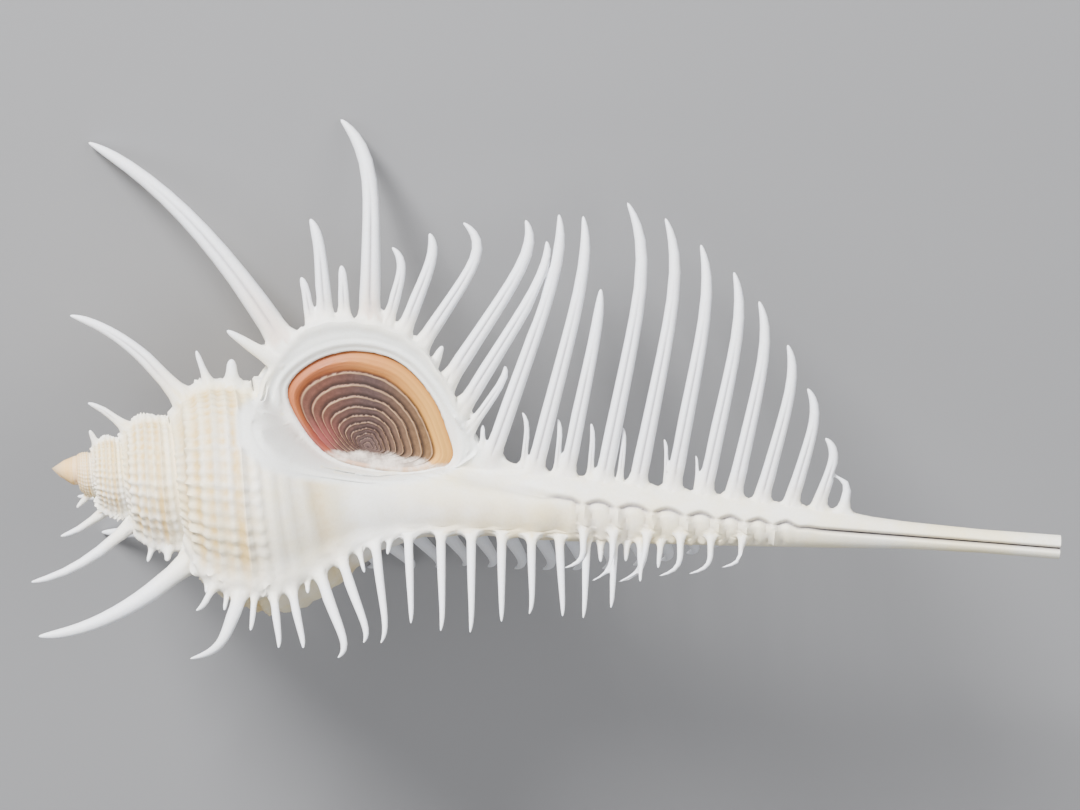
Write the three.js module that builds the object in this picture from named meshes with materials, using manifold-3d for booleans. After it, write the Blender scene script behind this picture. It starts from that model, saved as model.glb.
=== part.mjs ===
// A Venus comb murex shell with its operculum, lying on the tips of two of its combs of spines.
//
// Millimetres. The shell is laid out along its own axis first. u runs from the apex (0) to the mouth of the
// siphonal canal, and an azimuth is an angle round that axis: 0 points along +Y and 90 along +Z. The shell
// grows towards rising azimuths, so "back" is how many degrees a place lies behind the outer lip.
// At the end the whole shell is turned onto the three spine tips that carry it, and its axis is near +X.

import * as THREE from "three";
import Module from "manifold-3d";

const wasm = await Module();
wasm.setup();

// ---------------------------------------------------------------- driving dimensions

const LENGTH = 130; // apex to the mouth of the canal
const WHORL_GROWTH = 1.7; // how many times larger each whorl is than the one before
const WHORLS = 5.5;
const LIP_AZIMUTH = 12; // the flat plane of the aperture
const CANAL_BORE = 0.8; // radius of the open gutter of the canal
const CANAL_SLIT = 0.35; // half the width of the slit along the canal
const PASSAGE_STEPS = [1, 15, 35, 60, 90, 120, 150]; // degrees back that the hollow behind the operculum runs
const WALL_TAPER = 0.86; // how far the hollow narrows in every 60 degrees
const APERTURE_SIDES = 30;
const CLEAR_ABOVE = 14; // how far in front of the aperture everything is cleared away
const OPERCULUM_THICKNESS = 1.1;
const OPERCULUM_RECESS = 1.3; // from the plane of the aperture to the operculum's face
const OPERCULUM_GAP = 0.35; // all round, between the operculum and the shell

// The last whorl's outline at the lip, from the suture to the foot of the body: [u, radius].
const SUTURE = [25.6, 11.2];
const WHORL_SIDE = [SUTURE, [27, 13.9], [29.3, 17.3], [32.5, 19.3], [36.5, 20.1], [40.2, 19.9]];
// Below the line where the next whorl would join, the outline leaves the spiral for the straight canal.
// [u, radius, share of the canal's own shape]
const BASE = [
  [47, 17, 0], [50, 14, 0.05], [52.5, 10.8, 0.15], [55, 7.8, 0.35], [58, 6, 0.6], [62, 5, 0.8],
];
// The canal's own radius at each u.
const CANAL = [
  [0, 5.6], [45, 5.2], [66, 4.3], [76, 3.8], [88, 3.1], [100, 2.4], [110, 1.8], [120, 1.55], [LENGTH, 1.6],
];
const CANAL_ROWS = [67, 73, 80, 88, 96, 104, 116, LENGTH];

const COLUMN_STEP = 15; // degrees between the body's columns
const VARIX_HEIGHT = 0.075; // of a varix, as a share of the whorl's radius
const VARIX_WIDTH = 11; // degrees
const VARICES = [3, 120, 225, 366, 480, 570, 726, 840, 930, 1086]; // each one's back angle

// The aperture's outline in its plane, as [u, distance from the axis], and the operculum's tilt in it.
const APERTURE = [
  [29.7, 12.5], [32.7, 16.4], [38, 18.3], [43.6, 17.3], [48.1, 13.3], [50.7, 8.4], [51.4, 5],
  [48.2, 3.1], [42, 2.9], [36.2, 4], [32.2, 7.4],
];

// The mean girth of a spine falls to this share at its tip, and a spine's foot flares.
const TIP_GIRTH = 0.42;
const FOOT_FLARE = 0.32;
const HOOK_POWER = 7; // how suddenly a spine's tip bends

// Each comb is a row of spines along one varix and on down the canal. root is the azimuth where its spines
// leave the shell, and they set off towards azimuth start and end up growing towards azimuth end.
// A spine is [u at its foot, length, lean, hook, girth]. Lean and hook are how far its tip moves along u:
// lean counts towards the canal, evenly, and hook back towards the apex, near the tip.
const COMBS = {
  lip: {
    root: 8.5,
    start: 8,
    end: -3,
    spines: [
      [32.2, 6.6, -1.5, 0.3, 1.4], [33.9, 13.6, -1.9, 1, 2], [36.3, 7.6, -0.7, 0.2, 1.5],
      [39.6, 26.4, -1.5, 4.2, 2.6], [41.8, 11, 2.1, 2.2, 1.55], [43.9, 14, 4.2, 1.8, 1.9],
      [46.3, 17.2, 9.1, 4.9, 1.9], [48.2, 3.2, 0.9, 0, 1.2], [50, 22.6, 12, 3.6, 2.1],
      [52.1, 23.4, 11.8, 2.6, 2], [53.4, 9, 5, 1.2, 1.3], [55.2, 3.2, -0.2, 0, 0.9],
      [56.4, 31.8, 8.6, 2.4, 2.15], [60.6, 7.2, 0.2, 0.9, 0.95], [62, 33.2, 5.9, 2.2, 2.1],
      [64.9, 7.2, 0.1, 0.5, 0.95], [66.1, 24.4, 3.2, 0.6, 2], [69.2, 7.2, 0, 0.4, 0.95],
      [70.9, 36, 4.5, 4.2, 2.15], [73, 7.2, 0.3, 0.4, 0.95], [75.3, 34.6, 4.2, 3.3, 2.1],
      [79.8, 31.8, 3.7, 2.5, 2.05], [83.9, 28.8, 4, 2.4, 2], [87.7, 25.5, 3.7, 2.4, 1.95],
      [91.3, 20.4, 3.9, 2.1, 1.85], [95.1, 15.2, 3.3, 2.3, 1.75], [98.6, 9.2, 2.4, 2.1, 1.65],
      [101.9, 4.8, 0.6, 2.2, 1.45], [79, 6.4, -0.3, 0.4, 0.8], [83, 4.8, -0.2, 0.3, 0.8],
    ],
  },
  back: {
    root: 252,
    start: 250,
    end: 258,
    spines: [
      [26.8, 6, -1, 1, 1.4], [29, 14, 0.6, 1.6, 2], [32, 7.5, 1, 0.6, 1.5], [34.4, 17, 3.2, 2.2, 2.1],
      [37.6, 20, 6, 3, 2.2], [41, 22.5, 7.6, 2.8, 2.2], [45, 25, 7.2, 2.4, 2.2],
      [49.2, 26.5, 6.4, 2.2, 2.2], [53.4, 27.5, 5.8, 2.4, 2.2], [57.6, 28, 5.4, 2.6, 2.2],
      [61.8, 27.5, 5, 2.6, 2.2], [66, 26.5, 4.6, 2.4, 2.1], [70.1, 25, 4.4, 2.4, 2.1],
      [74.1, 22, 4.2, 2.2, 2], [78, 18.5, 3.8, 2.2, 2], [81.8, 14, 3, 2, 1.9], [85.2, 9.5, 2, 1.8, 1.8],
    ],
  },
  front: {
    root: 149,
    start: 142,
    end: 116,
    spines: [
      [22.8, 6, -1.5, 0.4, 1.2], [26.2, 14, -2.2, 3, 1.9], [27.9, 7.6, 0.2, 0.1, 1.1],
      [30.2, 11, 1.9, 0.3, 1.3], [32.4, 12, 2.8, 0.3, 1.4], [35.6, 17, 6, 2.2, 1.7],
      [38.2, 17, 5.7, 1.5, 1.5], [42.4, 20.5, 3.4, 1.2, 1.4], [46.6, 18, 1.7, 0.2, 1.3],
      [50.7, 19.8, 1.6, 0.4, 1.3], [54.6, 20, 1.3, 0.3, 1.3], [58.5, 17.6, 1, 0.1, 1.3],
      [62.3, 15.8, 1, 0.5, 1.2], [65.9, 15.8, 1.3, 0.2, 1.2], [69.4, 16, 0.4, 0.2, 1.2],
      [72.9, 13.8, 0.3, 0.2, 1.1], [76.3, 8.4, 0.3, 0.1, 1.1], [78.9, 5.6, -0.2, 0, 1],
    ],
  },
  slit: {
    root: 126,
    start: 146,
    end: 168,
    spines: [
      [68.9, 5.6, 0.3, 2.4, 1.1], [72.7, 7.2, 0.3, 2.6, 1.1], [77.1, 7.2, -0.4, 2.9, 1.1],
      [81.3, 6.1, 0.3, 2.7, 1.1], [85.2, 5.6, 0.2, 2.7, 1.1], [89.2, 4.5, 0, 2.4, 1],
    ],
  },
};

// The spines at the shoulders of the whorls, which bow outwards on their way and bend towards the apex:
// [u, azimuth of the foot, azimuth that it points to, length, lean, bow, girth].
const SHOULDER_SPINES = [
  [28.8, 9, -0.5, 24.2, -26.7, 3.2, 3.1], // lip
  [24, 252, 258, 15, -19, 2.4, 2.8], // body whorl, at the back
  [19.8, 158, 160, 12.4, -18.8, 2.4, 2.7], // body whorl, front comb
  [16.6, 8, 6, 9.8, -15.3, 1.8, 2.2], // the whorl before, lip side
  [9.7, 8, 6, 3, -5.4, 0.4, 1.3], [5.8, 8, 20, 1.8, -1, 0, 0.9],
  [11.6, 168, 170, 9, -12.6, 1.5, 1.8], // the whorl before, front side
  [7.8, 184, 184, 4, -5.8, 0.5, 1.3], [5.2, 186, 190, 1.8, -1.4, 0, 0.9],
  [13.6, 256, 254, 7, -11, 1.5, 1.9], // the whorl before, at the back
  [8.2, 262, 258, 3, -4.2, 0.5, 1.3],
];
// Low spines between the long ones: [u, azimuth of the foot, length, lean, girth].
const LOW_SPINES = [
  [19.7, 8, 4.4, -2, 1.2], [22.6, 8, 3.4, -0.3, 2], [14.2, 163, 2.4, -0.5, 0.9], [16.2, 160, 2, 0, 1.3],
  [21.6, 149, 2.6, 0.2, 0.9], [24.5, 149, 3.4, -0.2, 0.9], [34.3, 149, 2.4, 0.3, 0.9],
  [40.3, 149, 4, 1.2, 0.9], [44.4, 149, 3, -0.2, 0.9], [71.2, 158, 3, 0.2, 0.9], [74.6, 158, 2.8, 0, 0.9],
  [27, 12, 5, -5.5, 1.8],
];

// The shell comes to rest on the tips of three spines, each given by the u of its foot.
const RESTS_ON = [39.6, 24, 37.6];

const COLOURS = { shell: 0xf3ecdf, operculum: 0x8a5a48 };

// ---------------------------------------------------------------- small tools

const radians = THREE.MathUtils.degToRad;
const lerp = THREE.MathUtils.lerp;

// The direction of an azimuth.
const outward = (azimuth) => new THREE.Vector3(0, Math.cos(radians(azimuth)), Math.sin(radians(azimuth)));

// A point from its u, its distance from the axis and its azimuth.
const place = (u, radius, azimuth) => outward(azimuth).multiplyScalar(radius).setX(u);

// The value at x of a table of [x, value] rows, with straight runs between them.
function lookUp(table, x) {
  const next = table.findIndex((row) => row[0] >= x);
  if (next < 0) return table.at(-1)[1];
  if (next === 0) return table[0][1];
  const [x0, y0] = table[next - 1];
  const [x1, y1] = table[next];
  return lerp(y0, y1, (x - x0) / (x1 - x0));
}

// A closed surface's solid.
function solidOf(points, triangles) {
  const mesh = new wasm.Mesh({
    numProp: 3,
    vertProperties: new Float32Array(points.flatMap((point) => point.toArray())),
    triVerts: new Uint32Array(triangles.flat()),
  });
  const solid = new wasm.Manifold(mesh);
  if (solid.volume() <= 0) throw new Error("a surface faces inwards");
  return solid;
}

// Rings of points, each joined to the next, with both ends closed by a fan to a centre point.
function loft(rings, firstCentre, lastCentre) {
  const sides = rings[0].length;
  const points = [firstCentre, ...rings.flat(), lastCentre];
  const at = (ring, side) => 1 + ring * sides + (side % sides);
  const last = points.length - 1;
  const triangles = [];
  for (let side = 0; side < sides; side++) {
    triangles.push([0, at(0, side + 1), at(0, side)]);
    for (let ring = 0; ring + 1 < rings.length; ring++) {
      triangles.push([at(ring, side), at(ring, side + 1), at(ring + 1, side)]);
      triangles.push([at(ring, side + 1), at(ring + 1, side + 1), at(ring + 1, side)]);
    }
    triangles.push([at(rings.length - 1, side), at(rings.length - 1, side + 1), last]);
  }
  return solidOf(points, triangles);
}

// A solid as a named mesh.
function meshOf(name, solid) {
  const { numProp, vertProperties, triVerts } = solid.getMesh();
  const geometry = new THREE.BufferGeometry();
  const interleaved = new THREE.InterleavedBuffer(vertProperties, numProp);
  geometry.setAttribute("position", new THREE.InterleavedBufferAttribute(interleaved, 3, 0));
  geometry.setIndex(new THREE.BufferAttribute(triVerts, 1));
  const flat = geometry.toNonIndexed();
  flat.computeVertexNormals();
  const material = new THREE.MeshStandardMaterial({ color: COLOURS[name], roughness: 0.55, metalness: 0 });
  const mesh = new THREE.Mesh(flat, material);
  mesh.name = name;
  return mesh;
}

// ---------------------------------------------------------------- the spiral body

const JOIN = SUTURE.map((value) => value * WHORL_GROWTH); // where the next whorl's suture would run
const SIDE_ROWS = [...WHORL_SIDE, JOIN];

const growth = (back) => WHORL_GROWTH ** (-back / 360);

// The height of the nearest varix at a back angle, as a share of the radius.
function varixLift(back) {
  const lifts = VARICES.map((varix) => VARIX_HEIGHT * Math.exp(-(((back - varix) / VARIX_WIDTH) ** 2)));
  return Math.max(0, ...lifts);
}

// A row of the whorl's side, which repeats on every whorl.
function sidePoint(row, back) {
  const [u, radius] = SIDE_ROWS[row];
  const scale = growth(back);
  // The lift fades out at the two sutures, so that neighbouring whorls still share their edges.
  const lift = row === 0 || row === SIDE_ROWS.length - 1 ? 0 : varixLift(back);
  return place(u * scale, radius * scale * (1 + lift), LIP_AZIMUTH - back);
}

// A row below the join, which only the last whorl shows.
function basePoint(row, back) {
  const [u, radius, canalShare] = row;
  const scale = growth(back);
  const lifted = radius * scale * (1 + varixLift(back));
  const joined = lerp(lifted, lookUp(CANAL, u), canalShare);
  return place(lerp(u * scale, u, canalShare), joined, LIP_AZIMUTH - back);
}

const BELOW_JOIN = [...BASE, ...CANAL_ROWS.map((u) => [u, 0, 1])];

// One strip of the surface per column: the whorl's side on every whorl, and the base and canal on the last.
function bodySolid() {
  const points = [];
  const triangles = [];
  const add = (point) => points.push(point) - 1;
  const turn = 360 / COLUMN_STEP;
  const columns = WHORLS * turn;
  const sideRows = SIDE_ROWS.length;
  const grid = [];
  for (let column = 0; column <= columns; column++) {
    const back = column * COLUMN_STEP;
    const line = SIDE_ROWS.map((_, row) => {
      const isJoin = row === sideRows - 1 && column >= turn;
      return isJoin ? grid[column - turn][0] : add(sidePoint(row, back));
    });
    if (column <= turn) line.push(...BASE.map((row) => add(basePoint(row, back))));
    if (column < turn) line.push(...CANAL_ROWS.map((u) => add(basePoint([u, 0, 1], back))));
    if (column === turn) line.push(...grid[0].slice(-CANAL_ROWS.length));
    grid.push(line);
  }
  for (let column = 0; column < columns; column++) {
    const rows = column < turn ? grid[0].length : sideRows;
    for (let row = 0; row + 1 < rows; row++) {
      const [a, b] = [grid[column][row], grid[column + 1][row]];
      const [d, c] = [grid[column][row + 1], grid[column + 1][row + 1]];
      triangles.push([a, c, b], [a, d, c]);
    }
  }

  // The flat plane of the lip, between the newest edge and the whorl before.
  const newest = grid[0].slice(0, sideRows + BASE.length + 1);
  const before = grid[turn].slice(sideRows, sideRows + BASE.length);
  const outline = [...newest, ...before.reverse()];
  const flat = outline.map((id) => new THREE.Vector2(points[id].x, Math.hypot(points[id].y, points[id].z)));
  for (const [a, b, c] of THREE.ShapeUtils.triangulateShape(flat, [])) {
    triangles.push([outline[a], outline[b], outline[c]]);
  }

  // The apex closes the first whorl, and a flat disc closes the canal.
  const apex = add(new THREE.Vector3(0, 0, 0));
  const firstWhorl = grid.slice(-turn - 1).map((line) => line[0]);
  firstWhorl.push(...grid[columns].slice(1, sideRows - 1));
  firstWhorl.forEach((id, i) => triangles.push([apex, id, firstWhorl[(i + 1) % firstWhorl.length]]));
  const mouth = add(new THREE.Vector3(LENGTH, 0, 0));
  for (let column = 0; column < turn; column++) {
    triangles.push([mouth, grid[column + 1].at(-1), grid[column].at(-1)]);
  }
  return solidOf(points, triangles);
}

// The body's radius at a u and azimuth, for planting spines.
function surfaceRadius(u, azimuth) {
  const back = THREE.MathUtils.euclideanModulo(LIP_AZIMUTH - azimuth, 360);
  let radius = 0;
  for (let whorl = 0; whorl < WHORLS; whorl++) {
    const line = SIDE_ROWS.map((_, row) => sidePoint(row, back + 360 * whorl));
    if (whorl === 0) line.push(...BELOW_JOIN.map((row) => basePoint(row, back)));
    const table = line.map(({ x, y, z }) => [x, Math.hypot(y, z)]);
    if (u >= table[0][0] && u <= table.at(-1)[0]) radius = Math.max(radius, lookUp(table, u));
  }
  return radius;
}

// ---------------------------------------------------------------- spines

const SPINE_BURIED = 1.2; // how far a spine's foot starts inside the shell

// The centre line of a spine as a function of the share s of its length.
function spineLine({ u, root, start, end, length, lean, hook, bow }) {
  const foot = place(u, surfaceRadius(u, root), root);
  const first = outward(start);
  const last = outward(end);
  return (s) => {
    const along = foot.clone();
    along.addScaledVector(first, length * (s - (s * s) / 2));
    along.addScaledVector(last, length * ((s * s) / 2));
    along.addScaledVector(last, 4 * bow * s * (1 - s));
    along.x += lean * s - hook * Math.max(s, 0) ** HOOK_POWER;
    return along;
  };
}

// A spine's radius at the share s of its length.
function spineRadius(girth, s) {
  const flare = FOOT_FLARE * Math.exp(-Math.max(s, 0) * 9);
  return 0.55 * girth * (lerp(1, TIP_GIRTH, Math.max(s, 0) ** 1.4) + flare);
}

function spineSolid(spine) {
  const long = spine.length > 9;
  const shares = long ? [0.1, 0.4, 0.68, 0.88] : [0.18, 0.62];
  const sides = 5;
  const line = spineLine(spine);
  const across = new THREE.Vector3(1, 0, 0).cross(outward((spine.start + spine.end) / 2)).normalize();
  const ringAt = (centre, tangent, radius) => {
    const beside = tangent.clone().cross(across).normalize();
    return Array.from({ length: sides }, (_, i) => {
      const turn = (2 * Math.PI * i) / sides;
      return centre
        .clone()
        .addScaledVector(beside, radius * Math.cos(turn))
        .addScaledVector(across, -radius * Math.sin(turn));
    });
  };
  const rings = shares.map((s) => {
    const tangent = line(s + 0.01).sub(line(s - 0.01)).normalize();
    return ringAt(line(s), tangent, spineRadius(spine.girth, s));
  });
  const setOff = line(0.05).sub(line(0)).normalize();
  const buried = line(0).addScaledVector(setOff, -SPINE_BURIED);
  rings.unshift(ringAt(buried, setOff, spineRadius(spine.girth, 0)));
  return loft(rings, buried, line(1));
}

function combSpines() {
  return Object.values(COMBS).flatMap(({ root, start, end, spines }) =>
    spines.map(([u, length, lean, hook, girth]) => ({
      u, root, start, end, length, lean, hook, bow: 0, girth,
    })),
  );
}

function otherSpines() {
  const shoulder = SHOULDER_SPINES.map(([u, root, end, length, lean, bow, girth]) => ({
    u, root, start: root, end, length, lean, hook: 0, bow, girth,
  }));
  const low = LOW_SPINES.map(([u, root, length, lean, girth]) => ({
    u, root, start: root, end: root, length, lean, hook: 0, bow: 0, girth,
  }));
  return [...shoulder, ...low];
}

// ---------------------------------------------------------------- aperture, canal and operculum

// The aperture's outline as evenly spaced points, moved in by a margin.
function apertureOutline(count, margin) {
  const corners = APERTURE.map(([u, radius]) => new THREE.Vector3(u, radius, 0));
  const curve = new THREE.CatmullRomCurve3(corners, true, "centripetal");
  const ring = curve.getSpacedPoints(count).slice(0, count);
  return ring.map((point, i) => {
    const ahead = ring[(i + 1) % count];
    const behind = ring[(i - 1 + count) % count];
    const inward = new THREE.Vector3(ahead.y - behind.y, behind.x - ahead.x, 0).normalize();
    return point.clone().addScaledVector(inward, margin);
  });
}

// The middle of a ring of points.
const middleOf = (ring) => ring.reduce((sum, p) => sum.add(p), new THREE.Vector3()).divideScalar(ring.length);

// The hollow behind the aperture: a straight well that holds the operculum, and then a passage that follows
// the whorl back and narrows.
function hollowSolid() {
  const outline = apertureOutline(APERTURE_SIDES, 0);
  const toward = outward(LIP_AZIMUTH + 90);
  const wellAt = (height) =>
    outline.map(({ x, y }) => place(x, y, LIP_AZIMUTH).addScaledVector(toward, height));
  const well = [wellAt(CLEAR_ABOVE), wellAt(-OPERCULUM_RECESS - OPERCULUM_THICKNESS - 2 * OPERCULUM_GAP)];
  const centre = new THREE.Vector2(41, 10);
  const sectionAt = (back) => {
    const narrowing = 0.94 * WALL_TAPER ** (back / 60);
    const scale = growth(back);
    return outline.map(({ x, y }) =>
      place(lerp(centre.x, x, narrowing) * scale, lerp(centre.y, y, narrowing) * scale, LIP_AZIMUTH - back),
    );
  };
  const passage = PASSAGE_STEPS.map(sectionAt);
  const closed = (rings) => loft(rings, middleOf(rings[0]), middleOf(rings.at(-1)));
  return wasm.Manifold.union([closed(well), closed(passage)]);
}

// The open gutter and slit of the siphonal canal, from the aperture's foot to the mouth.
function gutterSolid() {
  const from = 57;
  const slit = outward(LIP_AZIMUTH + 62);
  const beside = new THREE.Vector3(1, 0, 0).cross(slit);
  const above = 9; // clears the shell in front of the gutter
  const section = [
    [-CANAL_BORE, 0], [-CANAL_SLIT, CANAL_BORE], [-CANAL_SLIT, above], [CANAL_SLIT, above],
    [CANAL_SLIT, CANAL_BORE], [CANAL_BORE, 0], [0, -CANAL_BORE],
  ];
  const ringAt = (u) =>
    section.map(([across, up]) => place(u, 0, 0).addScaledVector(beside, across).addScaledVector(slit, up));
  const rings = [ringAt(from), ringAt(LENGTH + 1)];
  return loft(rings, new THREE.Vector3(from, 0, 0), new THREE.Vector3(LENGTH + 1, 0, 0));
}

// A thin plate in the aperture, dished round its low centre.
function operculumSolid() {
  const rim = apertureOutline(APERTURE_SIDES, OPERCULUM_GAP);
  const nucleus = new THREE.Vector3(40.6, 6.6, 0);
  const toward = outward(LIP_AZIMUTH + 90);
  const lift = [[0.3, -0.1], [0.6, 0.1], [0.86, 0.35], [1, 0], [1, -OPERCULUM_THICKNESS]];
  const ringAt = ([share, height]) =>
    rim.map((point) => {
      const { x, y } = nucleus.clone().lerp(point, share);
      return place(x, y, LIP_AZIMUTH).addScaledVector(toward, height - OPERCULUM_RECESS);
    });
  const middle = place(nucleus.x, nucleus.y, LIP_AZIMUTH);
  const centre = (height) => middle.clone().addScaledVector(toward, height - OPERCULUM_RECESS);
  return loft(lift.map(ringAt), centre(-0.15), centre(-OPERCULUM_THICKNESS));
}

// ---------------------------------------------------------------- putting it together

const spines = [...combSpines(), ...otherSpines()];
const shellSolid = wasm.Manifold.union([bodySolid(), ...spines.map(spineSolid)])
  .subtract(hollowSolid())
  .subtract(gutterSolid());

const shell = meshOf("shell", shellSolid);
const operculum = meshOf("operculum", operculumSolid());

// Turns the shell so that three spine tips lie in a level plane, then sets it down with its lowest point at 0
// and its bounding box centred on the origin.
function setDown(parts) {
  const tips = RESTS_ON.map((u) => spineLine(spines.find((spine) => spine.u === u))(1));
  const normal = tips[1].clone().sub(tips[0]).cross(tips[2].clone().sub(tips[0])).normalize();
  if (normal.dot(outward(90)) < 0) normal.negate();
  const along = new THREE.Vector3(1, 0, 0);
  const ahead = along.addScaledVector(normal, -along.dot(normal)).normalize();
  const side = normal.clone().cross(ahead);
  const turn = new THREE.Matrix4().makeBasis(ahead, side, normal).transpose();
  const resting = new THREE.Group();
  resting.add(...parts);
  resting.applyMatrix4(turn);
  const box = new THREE.Box3().setFromObject(resting, true);
  const middle = box.getCenter(new THREE.Vector3());
  resting.position.sub(new THREE.Vector3(middle.x, middle.y, box.min.z));
  return resting;
}

export default setDown([shell, operculum]);
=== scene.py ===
"""A Venus comb murex shell with its operculum, resting on the tips of its spines.

The shell is built in its own frame, in millimetres, as it grows: u runs along the axis from the apex to the
mouth of the canal, and an azimuth is an angle round the axis (0 along y, 90 along z). "back" is how many
degrees a place lies behind the outer lip. It is then turned and moved onto the CAD frame, in metres.
"""
import math

import bmesh
import bpy
import numpy as np
from mathutils import Matrix, Vector, kdtree


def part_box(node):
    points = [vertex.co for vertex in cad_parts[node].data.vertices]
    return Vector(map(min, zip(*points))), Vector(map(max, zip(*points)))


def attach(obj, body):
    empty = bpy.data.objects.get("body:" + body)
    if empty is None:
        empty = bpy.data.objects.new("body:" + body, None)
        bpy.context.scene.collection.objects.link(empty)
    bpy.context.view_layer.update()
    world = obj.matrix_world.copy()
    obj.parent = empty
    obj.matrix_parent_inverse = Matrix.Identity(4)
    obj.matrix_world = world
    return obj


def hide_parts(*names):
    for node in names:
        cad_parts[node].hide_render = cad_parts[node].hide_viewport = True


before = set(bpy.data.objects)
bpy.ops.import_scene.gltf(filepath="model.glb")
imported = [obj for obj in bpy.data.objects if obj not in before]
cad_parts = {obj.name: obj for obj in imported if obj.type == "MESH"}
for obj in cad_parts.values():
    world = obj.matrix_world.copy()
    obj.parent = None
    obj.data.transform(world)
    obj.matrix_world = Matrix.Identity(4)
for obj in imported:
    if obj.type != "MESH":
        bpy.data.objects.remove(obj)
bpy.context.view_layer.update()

# ---------------------------------------------------------------- driving dimensions, in mm and degrees

LENGTH = 130.0
WHORL_GROWTH = 1.7
WHORLS = 5.5
LIP = 12.0  # azimuth of the plane of the aperture
# Columns of the mesh stand closer where the shell shows most: from, to, step, in degrees behind the lip.
COLUMN_STEPS = [(0, 22, 1.7), (22, 212, 2.4), (212, 360, 1.7)]

SUTURE = (25.6, 11.2)
JOIN = (SUTURE[0] * WHORL_GROWTH, SUTURE[1] * WHORL_GROWTH)
# The last whorl's outline at the lip: u, radius, share of the canal's own shape.
OUTLINE = [
    (*SUTURE, 0), (27.0, 13.9, 0), (29.3, 17.3, 0), (32.5, 19.3, 0), (36.5, 20.1, 0), (40.2, 19.9, 0),
    (*JOIN, 0), (47.0, 17.0, 0), (50.0, 14.0, 0.05), (52.5, 10.8, 0.15), (55.0, 7.8, 0.35), (58.0, 6.0, 0.6),
    (62.0, 5.0, 0.8), (67.0, 4.25, 1.0),
]
JOIN_AT = 6  # JOIN's place in OUTLINE
CANAL_U = [0, 45, 56, 66, 76, 88, 100, 110, 120, LENGTH]
CANAL_R = [5.6, 5.2, 4.7, 4.2, 3.7, 3.1, 2.4, 1.75, 1.5, 1.55]

VARICES = [3, 120, 225, 366, 480, 570, 726, 840, 930, 1086]
VARIX_HEIGHT = 0.075
VARIX_WIDTH = 8.0
RIB_PITCH = (7.2, 10.6)  # degrees between the low ribs, on the last whorl and on the older ones
CORD_PITCH = 2.55  # between the cords that run round the whorl, at the lip

# The aperture's edge in its plane, as u and distance from the axis.
APERTURE = [
    (29.7, 12.5), (32.7, 16.4), (38, 18.3), (43.6, 17.3), (48.1, 13.3), (50.7, 8.4), (51.4, 5), (48.2, 3.1),
    (42, 2.9), (36.2, 4), (32.2, 7.4),
]
APERTURE_MIDDLE = (41.0, 9.0)
# The edge of the glazed inner lip, as it is seen from in front of the aperture: u, height above the axis, and
# how far the edge stands up.
INNER_LIP = [
    (25.9, 10.9, 0.0), (24.4, 8.8, 0.0), (25.0, 5.3, 0.0), (28.3, 2.8, 0.05), (32.1, 1.9, 0.2),
    (37.6, 1.6, 0.45), (42.2, 1.5, 0.6), (46.8, 2.4, 0.6), (50.1, 3.9, 0.45), (52.1, 4.8, 0.2),
    (55.0, 5.1, 0.0),
]
LIP_FROM, LIP_TO = 26.3, 57.0  # the outer lip's crest, along u
LIP_EXTRA = 1.2  # how far the crest stands past the varix

OPERCULUM_RECESS = 1.3
OPERCULUM_THICKNESS = 1.1
OPERCULUM_GAP = 0.07
NUCLEUS = (40.5, 5.7)

HOOK_POWER = 7
TIP_GIRTH = {"lip": 0.58, "other": 0.38}

# How the shell lies: rolled about its axis and pitched, so that three spine tips are level.
ROLL = math.radians(33.09)
PITCH = math.radians(5.91)

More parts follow.
